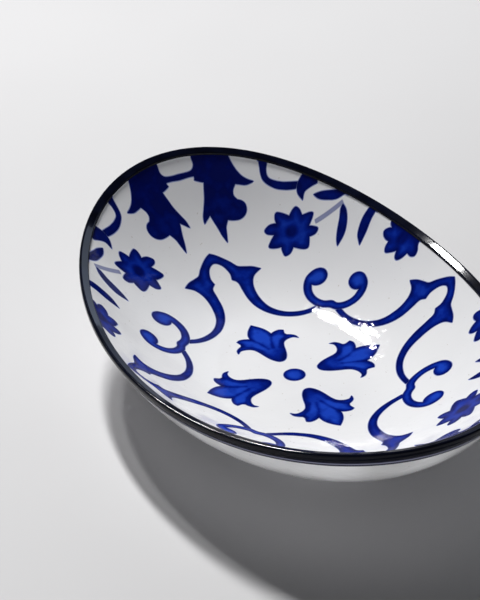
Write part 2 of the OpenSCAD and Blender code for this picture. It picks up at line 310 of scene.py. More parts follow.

# %% [markdown]
# The ornament is blue colour under the glaze. It could be painted by a pattern in the porcelain's
# material, but lines this fine stay crisp only as geometry. So each motif is an outline in plan, drawn
# with a few listed points and smoothed by a curve that keeps its corners. A point with a third value
# is a corner.

# %% Outlines
LINE_STEP = 0.25


def bend(a, b, c, d, t):
    """A point on the smooth curve from b to c, led by the points a and d on either side."""
    square = (2 * a - 5 * b + 4 * c - d) * t * t
    return 0.5 * (2 * b + (c - a) * t + square + (3 * b - a - 3 * c + d) * t ** 3)


def stretch(a, b, c, d):
    count = max(2, int(np.linalg.norm(c - b) / LINE_STEP))
    return [bend(a, b, c, d, k / count) for k in range(count)]


def smooth_line(points):
    """Points along a curve from its first point up to its last one, which is left out."""
    pts = [np.array(p[:2], float) for p in points]
    last = len(pts) - 1
    out = []
    for i in range(last):
        out += stretch(pts[max(i - 1, 0)], pts[i], pts[i + 1], pts[min(i + 2, last)])
    return out


def outline(points):
    """A closed outline that is smooth between its corners, or all round if it has none."""
    corners = [i for i, p in enumerate(points) if len(p) > 2]
    out = []
    if not corners:
        pts = [np.array(p, float) for p in points]
        for i in range(len(pts)):
            after, beyond = pts[(i + 1) % len(pts)], pts[(i + 2) % len(pts)]
            out += stretch(pts[i - 1], pts[i], after, beyond)
        return np.array(out)
    turned = list(points[corners[0]:]) + list(points[:corners[0]])
    turned.append(turned[0])
    marks = [i for i, p in enumerate(turned) if len(p) > 2]
    for i, k in zip(marks, marks[1:]):
        out += smooth_line(turned[i:k + 1])
    return np.array(out)


def two_sided(half):
    """The outline of a motif that mirrors across its own axis, from the half that lies above it."""
    other = [(p[0], -p[1]) + tuple(p[2:]) for p in half[-2:0:-1]]
    return outline(list(half) + other)


try_out = outline([(0, 0, 1), (4, 0, 1), (4, 4, 1), (0, 4, 1)])
print("a square drawn with 4 corners has", len(try_out), "points")

# %% [markdown]
# The pattern on the dish repeats: most motifs show four times, mirrored across both axes, and the ones
# on the long axis show again on the short axis. A painter would use a pounced stencil for that. Here a
# motif is drawn once, beside the long axis where x and y are positive, and a small function for each
# place moves its points there.

# %% Places of a motif
SIDE_PULL = 0.07


def as_drawn(x, y):
    return x, y


def across(x, y):
    return -x, y


def below(x, y):
    return x, -y


def opposite(x, y):
    return -x, -y


def on_far_side(x, y):
    """From the long axis to the short one, drawn in a little where the side wall climbs."""
    return y, x * (1 - SIDE_PULL * (x / IN_B) ** 2)


def on_near_side(x, y):
    return below(*on_far_side(x, y))


FOUR = (as_drawn, across, below, opposite)
AXES = (as_drawn, across, on_far_side, on_near_side)
ENDS = (as_drawn, across)
print("a point at 20, 5 shows on the axes at", [[round(c, 1) for c in place(20, 5)] for place in AXES])

# %% [markdown]
# Cobalt bleeds while the glaze melts: it pools dark along the edge of a stroke and fades into the white
# outside it. A blurred picture could show that, but a stored value does it on the mesh itself. So two
# measures of an outline are needed: how far a point lies inside it, which gives the share of wash, and
# which way is out of it, which is where the colour bleeds to.

# %% Measures of an outline
SAMPLE, BLOCK, NEEDLE = 0.08, 400, 0.3
PLAIN_DEPTH, BROAD_DEPTH = 1.1, 1.2


def plain_wash(x, y, d):
    return min(1.0, d / PLAIN_DEPTH)


def edge_distance(points, o):
    """How far each point lies from an outline."""
    samples = []
    for a, b in zip(o, np.roll(o, -1, axis=0)):
        count = max(1, int(np.linalg.norm(b - a) / SAMPLE))
        samples += [a + (b - a) * k / count for k in range(count)]
    samples = np.array(samples)
    best = np.full(len(points), 1e9)
    for start in range(0, len(samples), BLOCK):
        part = samples[start:start + BLOCK]
        gap = np.hypot(points[:, None, 0] - part[None, :, 0], points[:, None, 1] - part[None, :, 1])
        best = np.minimum(best, gap.min(axis=1))
    return best


def outward(o):
    """At each point of an outline, a vector out of it, one long but shorter at a needle-sharp tip."""
    area = np.sum(o[:, 0] * np.roll(o[:, 1], -1) - np.roll(o[:, 0], -1) * o[:, 1])
    along = np.roll(o, -1, axis=0) - o
    along /= np.maximum(np.linalg.norm(along, axis=1), 1e-9)[:, None]
    out = np.stack([along[:, 1], -along[:, 0]], axis=1) * np.sign(area)
    out = out + np.roll(out, 1, axis=0)
    return out / np.maximum(np.linalg.norm(out, axis=1), NEEDLE)[:, None]


print("wash half a millimetre inside an edge", round(plain_wash(0, 0, 0.5), 2))

# %% [markdown]
# A motif starts as one flat face. It could go onto the curved wall as it is, but then it would cut
# through the wall. So it is cut into small cells with bisect_plane, which lets it bend, and every point
# stores its share of wash. A narrow skirt is then extruded around it that sinks a little and fades to
# none, so that the colour ends softly.

# %% Filled outlines with a soft edge
CELL = 0.25
BLEED, BLEED_DROP, EDGE_WASH = 0.24, 0.022, 0.3


def cut_cells(bm, o):
    for axis in (0, 1):
        normal = [0, 0, 0]
        normal[axis] = 1
        for cut in np.arange(o[:, axis].min() + CELL / 2, o[:, axis].max(), CELL):
            place = [0, 0, 0]
            place[axis] = cut
            everything = bm.verts[:] + bm.edges[:] + bm.faces[:]
            bmesh.ops.bisect_plane(bm, geom=everything, plane_co=place, plane_no=normal, dist=1e-5)


def add_skirt(bm, o, wash):
    """Grow a narrow rim around the outline that sinks and fades."""
    rim = [edge for edge in bm.edges if edge.is_boundary]
    grown = bmesh.ops.extrude_edge_only(bm, edges=rim)
    way = outward(o)
    step = np.roll(o, -1, axis=0) - o
    length_squared = np.maximum(np.sum(step * step, axis=1), 1e-12)
    for v in [g for g in grown["geom"] if isinstance(g, bmesh.types.BMVert)]:
        at = np.array(v.co[:2])
        t = np.clip(np.sum((at - o) * step, axis=1) / length_squared, 0, 1)
        k = int(np.argmin(np.linalg.norm(o + step * t[:, None] - at, axis=1)))
        push = way[k] * (1 - t[k]) + np.roll(way, -1, axis=0)[k] * t[k]
        v.co.x, v.co.y = at + push * BLEED
        v.co.z = -BLEED_DROP
        v[wash] = 0.0


def flat_sheet(o, wash_of):
    bm = bmesh.new()
    bm.faces.new([bm.verts.new((x, y, 0)) for x, y in o])
    cut_cells(bm, o)
    wash = bm.verts.layers.float.new("wash")
    depth = edge_distance(np.array([v.co[:2] for v in bm.verts]), o)
    for v, d in zip(bm.verts, depth):
        v[wash] = EDGE_WASH + (1 - EDGE_WASH) * wash_of(v.co.x, v.co.y, d)
    add_skirt(bm, o, wash)
    sheet = bpy.data.meshes.new("sheet")
    bm.to_mesh(sheet)
    bm.free()
    return sheet


print("a soft edge is", BLEED, "mm wide")

# %% [markdown]
# On the real dish the colour and the white lie under one level skin of glass. A raised inlay would give
# itself away: its sloping skirt would catch bright lines of its own. Making it thinner doesn't help
# much, so its upper faces take the normals of the glaze around them instead.

# %% Level under the glaze
FACES_UP = 0.2


def glaze_normal(x, y, step=0.02):
    slope_x = (inside_height(x + step, y) - inside_height(x - step, y)) / (2 * step)
    slope_y = (inside_height(x, y + step) - inside_height(x, y - step)) / (2 * step)
    return Vector((-slope_x, -slope_y, 1)).normalized()


def level_under_glaze(mesh):
    """Let the upper faces reflect as the glaze around them does."""
    normals = []
    for polygon in mesh.polygons:
        for index in polygon.vertices:
            x, y = (mesh.vertices[index].co / MM)[:2]
            normals.append(glaze_normal(x, y) if polygon.normal.z > FACES_UP else Vector())
    mesh.normals_split_custom_set(normals)


print("the glaze faces up by", round(glaze_normal(0, 30).z, 2), "at 30 mm to the side")

# %% [markdown]
# Now a motif can go onto the dish. Copies of its sheet go to its places, are dropped onto the inside of
# the dish, a hair above it, and are extruded downwards into the porcelain, so that no gap can show.
# Outlines that reach the lip are first held back to the edge of the dark band. One piece holds all
# copies of a motif, because they are one colour in one layer.

# %% Lay motifs on the dish
LIFT, HIGH_LIFT, LOW_LIFT = 0.03, 0.036, 0.026
INLAY_SINK, CREASE = 0.06, math.radians(30)


def inside_band(o):
    share = np.hypot(o[:, 0] / IN_A, o[:, 1] / IN_B)
    return o * np.where(share > IN_EDGE, IN_EDGE / np.maximum(share, 1e-9), 1.0)[:, None]


def inlay(name, motifs, node, lift=LIFT, wash_of=plain_wash):
    bm = bmesh.new()
    for points, places in motifs:
        sheet = flat_sheet(inside_band(points), wash_of)
        for place in places:
            first = len(bm.verts)
            bm.from_mesh(sheet)
            bm.verts.ensure_lookup_table()
            for v in bm.verts[first:]:
                x, y = place(v.co.x, v.co.y)
                v.co = (x, y, inside_height(x, y) + lift + v.co.z)
        bpy.data.meshes.remove(sheet)
    bm.normal_update()
    bmesh.ops.reverse_faces(bm, faces=[f for f in bm.faces if f.normal.z < 0])
    grown = bmesh.ops.extrude_face_region(bm, geom=bm.faces[:])
    sunk = [g for g in grown["geom"] if isinstance(g, bmesh.types.BMVert)]
    bmesh.ops.translate(bm, vec=(0, 0, -lift - INLAY_SINK), verts=sunk)
    bmesh.ops.scale(bm, vec=(MM, MM, MM), verts=bm.verts)
    bmesh.ops.recalc_face_normals(bm, faces=bm.faces)
    for face in bm.faces:
        face.smooth = True
    for edge in bm.edges:
        edge.smooth = edge.is_manifold and edge.calc_face_angle() < CREASE
    piece = finish_piece(name, bm)
    level_under_glaze(piece.data)
    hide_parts(node)
    return piece


print("inlays lie", LOW_LIFT, "to", HIGH_LIFT, "mm above the glaze")

# %% [markdown]
# The middle of the floor holds a dot, a little longer one way than the other. A brush makes it in one
# touch. It has no corners, so its outline is smooth all round.

# %% Dot
DOT_A, DOT_B = 1.9, 2.0
DOT = outline([(DOT_A * math.cos(t), DOT_B * math.sin(t)) for t in np.arange(0, math.tau, math.pi / 6)])
dot = inlay("blue_dot", [(DOT, (as_drawn,))], "centre_dot")

# %% [markdown]
# Four tulips point away from the dot. A tulip is one outline: a rounded bulb near the dot, two thin
# petal tips that curl back, two short petals beside them, and a long pointed petal in the middle. Only
# half of it is drawn, and the other half mirrors it. The bulb is darker than the petals, and dark seams
# part the petals, so the wash is worked out from both.

# %% Tulips
TULIP_HALF = [
    (5.0, 0), (5.35, 0.85), (6.5, 1.65), (8, 2.2), (9.6, 2.65), (10.6, 3.15), (11.2, 3.95),
    (11.45, 4.95), (11.3, 5.75), (10.7, 6.35, 1), (11.7, 6.15), (12.35, 5.5), (12.7, 4.85, 1),
    (13.3, 4.6), (14.4, 4.9, 1), (14.75, 4.2), (14.65, 3.2), (14.25, 2.25, 1), (15.6, 1.95),
    (16.9, 1.25), (18.3, 0, 1),
]
SEAMS = [[(9.8, 0.5), (12.2, 1.25), (14.25, 2.25)], [(9.6, 1.9), (11.2, 2.9), (12.7, 4.85)]]
SEAM_WIDTH, SEAM_DARKER = 0.4, 0.65
BULB_TONE, BULB_END, PETALS_START = 0.3, 6, 12


def ease(value, low_end, high_end):
    t = min(1.0, max(0.0, (value - low_end) / (high_end - low_end)))
    return t * t * (3 - 2 * t)


def from_line(x, y, line):
    """Distance from a point to a bent line."""
    best = 1e9
    for (ax, ay), (bx, by) in zip(line, line[1:]):
        t = ((x - ax) * (bx - ax) + (y - ay) * (by - ay)) / ((bx - ax) ** 2 + (by - ay) ** 2)
        t = min(1.0, max(0.0, t))
        best = min(best, math.hypot(x - ax - t * (bx - ax), y - ay - t * (by - ay)))
    return best


def tulip_wash(x, y, d):
    seam = min(from_line(x, abs(y), line) for line in SEAMS)
    petals = BULB_TONE + (1 - BULB_TONE) * ease(x, BULB_END, PETALS_START)
    in_seam = SEAM_DARKER * math.exp(-(seam / SEAM_WIDTH) ** 2)
    return min(1.0, d / BROAD_DEPTH) * petals * (1 - in_seam)


tulips = inlay("blue_tulips", [(two_sided(TULIP_HALF), AXES)], "tulips", wash_of=tulip_wash)

# %% [markdown]
# Around the tulips runs a frame of four pointed lobes. Each lobe starts in a line, swells to a bracket
# with a thorn on its outer side and a small nub on its inner side, and closes in a pointed arch. One
# half of one lobe is enough: it is mirrored across the lobe's axis and copied to both axes of the dish.

# %% Scroll frame
OGEE_HALF = [
    (36.6, 0, 1), (36.1, 0.9), (35.2, 2.0), (34, 3.15), (32.7, 4.15), (32.15, 5.3), (31.5, 6.8),
    (30.45, 8.1, 1), (29.9, 6.6), (29, 5.7), (27.5, 5.1), (25.4, 4.9), (23, 5.2), (21.3, 5.85),
    (19.7, 7.05), (18.5, 8.6), (17.6, 10.6), (17.25, 12.2), (17.2, 13.7, 1), (16.2, 13.9, 1),
    (16.35, 11.6), (16.8, 9.6), (17.7, 7.7), (19, 5.95), (20.8, 4.45), (22.8, 3.45), (25, 2.9),
    (27.5, 2.8), (29.4, 2.75), (30.4, 1.9, 1), (31.5, 2.15), (32.6, 1.95), (33.6, 1.5), (34.3, 0.8),
    (34.6, 0),
]
FRAME_TONE = 0.5


def frame_wash(x, y, d):
    return FRAME_TONE * min(1.0, d)


frame_lines = inlay(
    "blue_scroll_frame", [(two_sided(OGEE_HALF), AXES)], "ogee_frame", wash_of=frame_wash,
)

# %% [markdown]
# Where two lobes meet, a pair of curls opens outwards like a C. Each curl ends in a round ball. The pair
# mirrors across the diagonal, so only one curl is drawn, and the function that takes the long axis to
# the short one gives the other.

# %% Curls
CURL_HALF = [
    (15.3, 15.3), (16.3, 14.1), (17.5, 13.35), (19.2, 12.9), (21, 12.95), (22.8, 13.65),
    (24.1, 14.9), (24.5, 16.5), (24.1, 17.8), (23.1, 18.45), (22, 18.3), (21.25, 17.5),
    (21.1, 16.4), (21.5, 15.5), (22.1, 14.95, 1), (21, 14.4), (19.6, 14.25), (18.2, 14.6),
    (17.2, 15.3), (16.4, 16.4),
]
other_curl = [on_far_side(p[0], p[1]) + tuple(p[2:]) for p in CURL_HALF[-2:0:-1]]
CURL = outline(CURL_HALF + other_curl)
curls = inlay("blue_curls", [(CURL, FOUR)], "scroll_curls", lift=HIGH_LIFT)

# %% [markdown]
# Daisies stand on the wall, with eight blunt petals each. The lip cuts those on the long sides in half.
# Their petals are uneven, as a brush leaves them, so they are drawn point by point and not by turning
# one petal. Their colour is dark in the centre and lighter in a ring around it.

# %% Daisies
WALL_DAISY = [
    (33.2, 20.7), (33.8, 21.2), (34.3, 20.7), (34.8, 19.3, 1), (36.0, 19.3), (36.8, 18.9),
    (36.7, 18.1), (36.2, 17.2, 1), (37.3, 16.3), (38.1, 15.3), (37.5, 14.7), (36.5, 14.5, 1),
    (36.9, 13.2), (36.5, 12.0), (35.7, 12.2), (34.9, 13.3, 1), (34.2, 12.2), (33.4, 11.4),
    (32.7, 12.2), (32.2, 13.5, 1), (31.2, 13.3), (30.3, 13.4), (30.2, 14.4), (30.9, 15.5, 1),
    (29.6, 16.7), (29.1, 17.7), (29.9, 18.4), (30.7, 18.8, 1), (30.4, 20.0), (30.9, 20.8),
    (31.7, 20.3), (32.4, 19.6, 1),
]
SIDE_DAISY = [
    (13.0, 35, 1), (12.7, 33.0), (11.7, 32.2), (11.4, 31.5), (12.1, 31.0), (13.2, 30.9, 1),
    (13.4, 29.8), (14.0, 29.0), (14.8, 29.1), (15.5, 29.8, 1), (16.2, 29.0), (17.1, 28.3),
    (17.9, 28.7), (18.3, 29.6, 1), (19.6, 29.4), (20.6, 29.8), (20.3, 30.6), (19.7, 31.1, 1),
    (20.9, 31.6), (21.6, 34, 1),
]
EYES = ((33.6, 16.4), (16.4, 31.6))
EYE_TONE, RING_LIGHTER, EYE_R, RING_R = 0.05, 0.5, 0.7, 1.7


def daisy_wash(x, y, d):
    r = min(math.hypot(x - eye_x, y - eye_y) for eye_x, eye_y in EYES)
    return min(1.0, d / BROAD_DEPTH) * (EYE_TONE + RING_LIGHTER * ease(r, EYE_R, RING_R))


daisy_motifs = [(outline(WALL_DAISY), FOUR), (outline(SIDE_DAISY), FOUR)]
daisies = inlay("blue_daisies", daisy_motifs, "daisies", wash_of=daisy_wash)

# %% [markdown]
# Pale stems lead from the daisies to slender leaves, three to each quarter of the dish. A stem is a
# thin grey-blue wash and a leaf is one dark stroke, so the stems lie lowest and have a finish of their
# own.

# %% Stems and leaves
STEM = [
    (31.9, 20.9, 1), (31.45, 23.4), (31.0, 26.4, 1), (31.6, 26.4, 1), (32.05, 23.5),
    (32.5, 21.0, 1),
]
LEAF_IN = [
    (31.0, 26.3, 1), (29.6, 26.3), (28, 25.6), (26.5, 24.3), (25.5, 22.3, 1), (26.6, 22.7),
    (28, 23.6), (29.4, 24.8), (30.6, 25.6),
]
LEAF_OUT = [
    (31.9, 28.4, 1), (32.5, 26.0), (33.8, 24.3), (35.1, 23.1), (36.3, 22.6, 1), (35.7, 23.9),
    (34.8, 25.1), (33.8, 26.4), (33.0, 28, 1),
]
LEAF_SIDE = [
    (25.2, 31.5, 1), (24.6, 29.2), (23.5, 27.5), (22.4, 25.5, 1), (24.3, 26.1), (25.6, 27.4),
    (26.3, 28.9), (26.4, 31, 1),
]
DARK_TONE, DARK_DEPTH = 0.1, 0.6


def dark_wash(x, y, d):
    return DARK_TONE * min(1.0, d / DARK_DEPTH)


stems = inlay("pale_stems", [(outline(STEM), FOUR)], "daisy_stems", lift=LOW_LIFT)
leaf_motifs = [(outline(leaf), FOUR) for leaf in (LEAF_IN, LEAF_OUT, LEAF_SIDE)]
leaves = inlay("blue_leaves", leaf_motifs, "leaf_sprays", wash_of=dark_wash)

# %% [markdown]
# The raised ends carry two palmettes each, with a ball lobe, two spear tips and an upper leaf, joined by a
# short bar under the lip. The pair and its bar make one outline, which mirrors across the long axis. The
# colour is at its darkest close to the lip.

# %% Palmettes
PALMETTE_HALF = [
    (50.65, 0), (50.6, 1.8), (50.75, 3.0), (51.4, 3.65), (52.3, 3.7), (54, 3.7, 1), (53, 10.6, 1),
    (50.6, 10.7), (48.6, 11.05), (46.9, 11.7), (45.7, 12.6), (44.8, 13.6, 1), (45.0, 12.2),
    (45.5, 11.2), (46.05, 10.25, 1), (45.4, 9.4), (44.5, 9.1), (43.6, 9.5, 1), (43.1, 10.2),
    (42.3, 10.6), (41.4, 10.45), (40.7, 9.7), (40.5, 8.6), (40.8, 7.4), (41.3, 6.3, 1),
    (40.3, 5.45), (39, 4.95), (37.6, 4.45, 1), (39.2, 4.05), (41, 3.75), (43.1, 3.3, 1),
    (42.6, 2.5), (42.0, 1.6, 1), (43.2, 1.9), (44.4, 2.6), (45.8, 3.4), (47.2, 4.0), (48.4, 4.5, 1),
    (48.8, 3.6), (49.2, 2.8, 1), (49.75, 3.0), (49.9, 1.8), (49.85, 0),
]
TIP_TONE, LIP_DARKER, TIPS_END, LIP_START = 0.16, 0.15, 41, 47


def palmette_wash(x, y, d):
    return min(1.0, d / BROAD_DEPTH) * (TIP_TONE - LIP_DARKER * ease(abs(x), TIPS_END, LIP_START))


palmette_motifs = [(two_sided(PALMETTE_HALF), ENDS)]
palmettes = inlay("blue_palmettes", palmette_motifs, "palmettes", wash_of=palmette_wash)

# %% [markdown]
# A looped line and a small bud by the lip join the palmettes to the daisies. On the dish the band is
# painted over their ends, so their outlines reach past its edge and are held back to it. The bud lies
# over the line that it grows from.

# %% Loops and buds
LOOP = [
    (47.6, 17.4, 1), (46.2, 17.2), (45.3, 16.6), (44.4, 16.3), (43.6, 16.5), (42.6, 17.4),
    (41.6, 18.6), (40.6, 20.1), (40.0, 21.0, 1), (39.3, 20.2, 1), (40.3, 18.6), (41.5, 17.1),
    (42.8, 16.0), (44.1, 15.35), (45.3, 15.4), (46.8, 15.8), (48.4, 15.9, 1),
]
BUD = [
    (36.9, 20.5, 1), (37.8, 21.3), (37.8, 22.5), (37.4, 23.9, 1), (38.3, 24.6, 1), (40.6, 23.0, 1),
    (40.2, 21.6), (39.6, 20.6), (38.4, 20.2),
]
loops = inlay("blue_loops", [(outline(LOOP), FOUR)], "rim_loops", wash_of=dark_wash)
buds = inlay("blue_buds", [(outline(BUD), FOUR)], "rim_buds", HIGH_LIFT, dark_wash)

# %% [markdown]
# Finishes come next. Each is a small net of nodes that reads Object coordinates, so a pattern stays in
# place on its piece. A few helpers keep the nets short: a noise, a colour ramp, a change of range, a
# blend of two colours and a shallow bump. Pictures could give the same looks, but nodes are sharp at
# any distance.

# %% Node helpers
def new_material(name):
    material = bpy.data.materials.new(name)
    material.use_nodes = True
    tree = material.node_tree
    return material, tree, tree.nodes["Principled BSDF"]


def noise(tree, scale, detail=3.0, roughness=0.5):
    where = tree.nodes.new("ShaderNodeTexCoord")
    node = tree.nodes.new("ShaderNodeTexNoise")
    node.inputs["Scale"].default_value = scale
    node.inputs["Detail"].default_value = detail
    node.inputs["Roughness"].default_value = roughness
    tree.links.new(where.outputs["Object"], node.inputs["Vector"])
    return node.outputs["Fac"]


def ramp(tree, value, stops):
    node = tree.nodes.new("ShaderNodeValToRGB")
    elements = node.color_ramp.elements
    while len(elements) < len(stops):
        elements.new(0.5)
    for element, (place, colour) in zip(elements, stops):
        element.position = place
        element.color = (*colour, 1)
    tree.links.new(value, node.inputs["Fac"])
    return node.outputs["Color"]


def spread(tree, value, low_out, high_out, low_in=0.3, high_in=0.7):
    node = tree.nodes.new("ShaderNodeMapRange")
    node.inputs["From Min"].default_value = low_in
    node.inputs["From Max"].default_value = high_in
    node.inputs["To Min"].default_value = low_out
    node.inputs["To Max"].default_value = high_out
    tree.links.new(value, node.inputs["Value"])
    return node.outputs["Result"]


def blend_colours(tree, share, first, second):
    node = tree.nodes.new("ShaderNodeMix")
    node.data_type = "RGBA"
    tree.links.new(share, node.inputs[0])
    for socket, colour in ((node.inputs[6], first), (node.inputs[7], second)):
        if isinstance(colour, tuple):
            socket.default_value = (*colour, 1)
        else:
            tree.links.new(colour, socket)
    return node.outputs[2]


def ripple(tree, height, distance, socket):
    node = tree.nodes.new("ShaderNodeBump")
    node.inputs["Distance"].default_value = distance
    tree.links.new(height, node.inputs["Height"])
    tree.links.new(node.outputs["Normal"], socket)


print("helpers are ready, with", len(bpy.data.materials), "materials made so far")

# %% [markdown]
# Glazed porcelain is a white body under clear glass, so it is a matt pale colour with a glossy coat over
# it. The glass is never perfectly level, and a shallow bump in the coat alone bends its reflections. A
# few faint specks and a slow change of tone keep the white from looking like plastic. The outer wall is
# thin and lets some light through, which subsurface scattering gives. Its white is also painted paler
# and bluer than the inside's, as a painted glow that brightens the shaded outer wall.

# %% White glaze
WAVE_SCALE, WAVE_HEIGHT = 190, 0.00013
SPECK = (0.66, 0.64, 0.62)


def clear_glaze(tree, shader, share=1.0):
    """A layer of clear glass over a matt colour, with shallow waves of its own."""
    shader.inputs["Roughness"].default_value = 0.7
    shader.inputs["Specular IOR Level"].default_value = 0.0
    shader.inputs["Coat Weight"].default_value = share
    shader.inputs["Coat IOR"].default_value = 1.5
    shader.inputs["Coat Roughness"].default_value = 0.045
    ripple(tree, noise(tree, WAVE_SCALE, 4.0, 0.58), WAVE_HEIGHT, shader.inputs["Coat Normal"])


def white_glaze(name, low_tone, high_tone):
    material, tree, shader = new_material(name)
    tone = ramp(tree, noise(tree, 45), [(0.3, low_tone), (0.7, high_tone)])
    specks = ramp(tree, noise(tree, 1400, 1.0), [(0.74, (0, 0, 0)), (0.80, (1, 1, 1))])
    tree.links.new(blend_colours(tree, specks, tone, SPECK), shader.inputs["Base Color"])
    clear_glaze(tree, shader)
    return material, shader


glaze = white_glaze("white_glaze", (0.80, 0.80, 0.815), (0.835, 0.835, 0.84))[0]
# The outer wall's copy of the glaze is painted paler and bluer, a painted glow on the shaded outer wall.
outer_glaze_painted_glow, shader = white_glaze("white_glaze_painted_glow", (0.88, 0.88, 0.905), (0.91, 0.91, 0.925))
shader.inputs["Subsurface Weight"].default_value = 1.0
shader.inputs["Subsurface Radius"].default_value = (0.95, 0.95, 1.0)
shader.inputs["Subsurface Scale"].default_value = 10 * MM
print("made", glaze.name, "and", outer_glaze_painted_glow.name)

# %% [markdown]
# The foot ring stands bare, because glaze there would stick to the kiln shelf. Bare porcelain is a little
# warmer, matt and finely grained. Three materials then share the one mesh: faces that look up have the
# inside's glaze, faces that look down have the outer wall's paler copy with its painted glow, and the
# lowest faces are bare.

# %% Bare foot
BARE_TOP = 0.36 * MM

bare, tree, shader = new_material("bare_porcelain")
grain = ramp(tree, noise(tree, 2600, 4.0), [(0.35, (0.60, 0.58, 0.54)), (0.65, (0.72, 0.70, 0.66))])
tree.links.new(grain, shader.inputs["Base Color"])
tree.links.new(spread(tree, noise(tree, 1800), 0.7, 0.85), shader.inputs["Roughness"])
ripple(tree, noise(tree, 3000, 4.0), 0.00004, shader.inputs["Normal"])

for material in (glaze, outer_glaze_painted_glow, bare):
    porcelain.data.materials.append(material)
# Faces that look down take the paler copy of the glaze, with its painted glow.
for polygon in porcelain.data.polygons:
    if max(porcelain.data.vertices[i].co.z for i in polygon.vertices) < BARE_TOP:
        polygon.material_index = 2
    elif polygon.normal.z < 0:
        polygon.material_index = 1
counts = [sum(1 for p in porcelain.data.polygons if p.material_index == k) for k in range(3)]
print("faces inside, outside and on the bare foot:", counts)

# %% [markdown]
# The blue lies under the same glass, so it has the same glossy coat, only weaker. Its colour follows
# the wash value that the inlays carry: white at the outer rim of the skirt, darkest at the edge of the
# stroke where it pooled, and lighter in the middle. A soft noise streaks it, as a brush or a sponge
# would, but never thins out the edge. The stems use the same net with a pale grey-blue.

# %% Cobalt and pale wash
WHITE = (0.815, 0.815, 0.825)
STREAK, BLUE_COAT = 0.25, 0.4


def calculate(tree, kind, first, second):
    node = tree.nodes.new("ShaderNodeMath")
    node.operation = kind
    for socket, value in zip(node.inputs, (first, second)):
        if isinstance(value, float):
            socket.default_value = value
        else:
            tree.links.new(value, socket)
    return node.outputs[0]


def under_glaze(name, stops):
    material, tree, shader = new_material(name)
    attribute = tree.nodes.new("ShaderNodeAttribute")
    attribute.attribute_name = "wash"
    edge = calculate(tree, "MINIMUM", attribute.outputs["Fac"], EDGE_WASH)
    streaks = spread(tree, noise(tree, 420, 4.0), 1 - STREAK, 1 + STREAK)
    wobble = calculate(tree, "MULTIPLY", attribute.outputs["Fac"], streaks)
    colour = ramp(tree, calculate(tree, "MAXIMUM", edge, wobble), stops)
    tree.links.new(colour, shader.inputs["Base Color"])
    clear_glaze(tree, shader, BLUE_COAT)
    return material


cobalt = under_glaze("cobalt_blue", [
    (0.0, WHITE),
    (0.16, (0.22, 0.27, 0.60)),
    (0.3, (0.001, 0.004, 0.085)),
    (0.58, (0.002, 0.014, 0.23)),
    (1.0, (0.010, 0.050, 0.44)),
])
pale = under_glaze("pale_blue_wash", [
    (0.0, WHITE),
    (0.3, (0.24, 0.26, 0.42)),
    (1.0, (0.36, 0.39, 0.56)),
])
blue_pieces = (dot, tulips, frame_lines, curls, daisies, leaves, palmettes, loops, buds)
for piece in blue_pieces:
    piece.data.materials.append(cobalt)
stems.data.materials.append(pale)
print(len(blue_pieces), "pieces in cobalt and 1 in the pale wash")

# %% [markdown]
# The band's colour is so dark that its look is nearly all reflection. It is a near-black blue with a
# sharp but weak gloss, a little uneven, and the lighter grey line painted near its lower outer edge
# comes from the tone that its rings carry.

# %% Dark lip colour
rim_dark, tree, shader = new_material("dark_lip_colour")
black = ramp(tree, noise(tree, 260, 4.0), [(0.3, (0.001, 0.0012, 0.003)), (0.75, (0.003, 0.004, 0.012))])
tone = tree.nodes.new("ShaderNodeAttribute")
tone.attribute_name = "wash"
# The ring tone paints a navy edge and a lighter grey line into the near-black.
light_line_colour = ramp(tree, tone.outputs["Fac"], [(0.5, (0.004, 0.006, 0.05)), (1.0, (0.3, 0.31, 0.38))])
on_light_line = spread(tree, tone.outputs["Fac"], 0.0, 1.0, 0.0, 0.5)
tree.links.new(blend_colours(tree, on_light_line, black, light_line_colour), shader.inputs["Base Color"])
tree.links.new(spread(tree, noise(tree, 300), 0.05, 0.08), shader.inputs["Roughness"])
shader.inputs["IOR"].default_value = 1.5
shader.inputs["Specular IOR Level"].default_value = 0.17
ripple(tree, noise(tree, 240, 3.0), 0.000012, shader.inputs["Normal"])
lip_band.data.materials.append(rim_dark)
print(len(lip_band.data.polygons), "faces in the dark lip colour")

# %% [markdown]
# The stage is one pale floor, so wide that its edge lies far off in every view. It stays plain, with
# only a slow change of tone, because the dish is what the picture is about.

# %% Pale floor
STAGE_HALF = 12

bm = bmesh.new()
bmesh.ops.create_grid(bm, x_segments=1, y_segments=1, size=STAGE_HALF)
floor_mesh = bpy.data.meshes.new("floor")
bm.to_mesh(floor_mesh)
bm.free()
floor = bpy.data.objects.new("floor", floor_mesh)
bpy.context.scene.collection.objects.link(floor)
pale_floor, tree, shader = new_material("pale_floor")
floor_tone = ramp(tree, noise(tree, 8, 3.0), [(0.35, (0.555, 0.55, 0.555)), (0.65, (0.585, 0.58, 0.585))])
tree.links.new(floor_tone, shader.inputs["Base Color"])
shader.inputs["Roughness"].default_value = 0.6
floor_mesh.materials.append(pale_floor)
print("floor", 2 * STAGE_HALF, "m wide")

# %% [markdown]
# A glossy dish shows its lights as mirror images, so each light is best placed from the spot that has to
# mirror it, by an angle to the left and an angle upwards. The dark band is so narrow that a light in
# the right place for the white glaze is in the wrong place for it. Blender's light linking solves that:
# a lamp can be kept to the band, or kept off it.

# %% Lamp helpers
def area_light(name, place, target, size, watts, colour=(1, 1, 1)):
    data = bpy.data.lights.new(name, "AREA")
    data.shape = "RECTANGLE"
    data.size, data.size_y = size
    data.energy = watts
    data.color = colour
    lamp = bpy.data.objects.new(name, data)
    bpy.context.scene.collection.objects.link(lamp)
    lamp.location = place
    lamp.rotation_euler = (place - target).to_track_quat("Z", "Y").to_euler()
    print(name, "stands", [round(c, 2) for c in place], "with", round(watts, 2), "W")
    return lamp


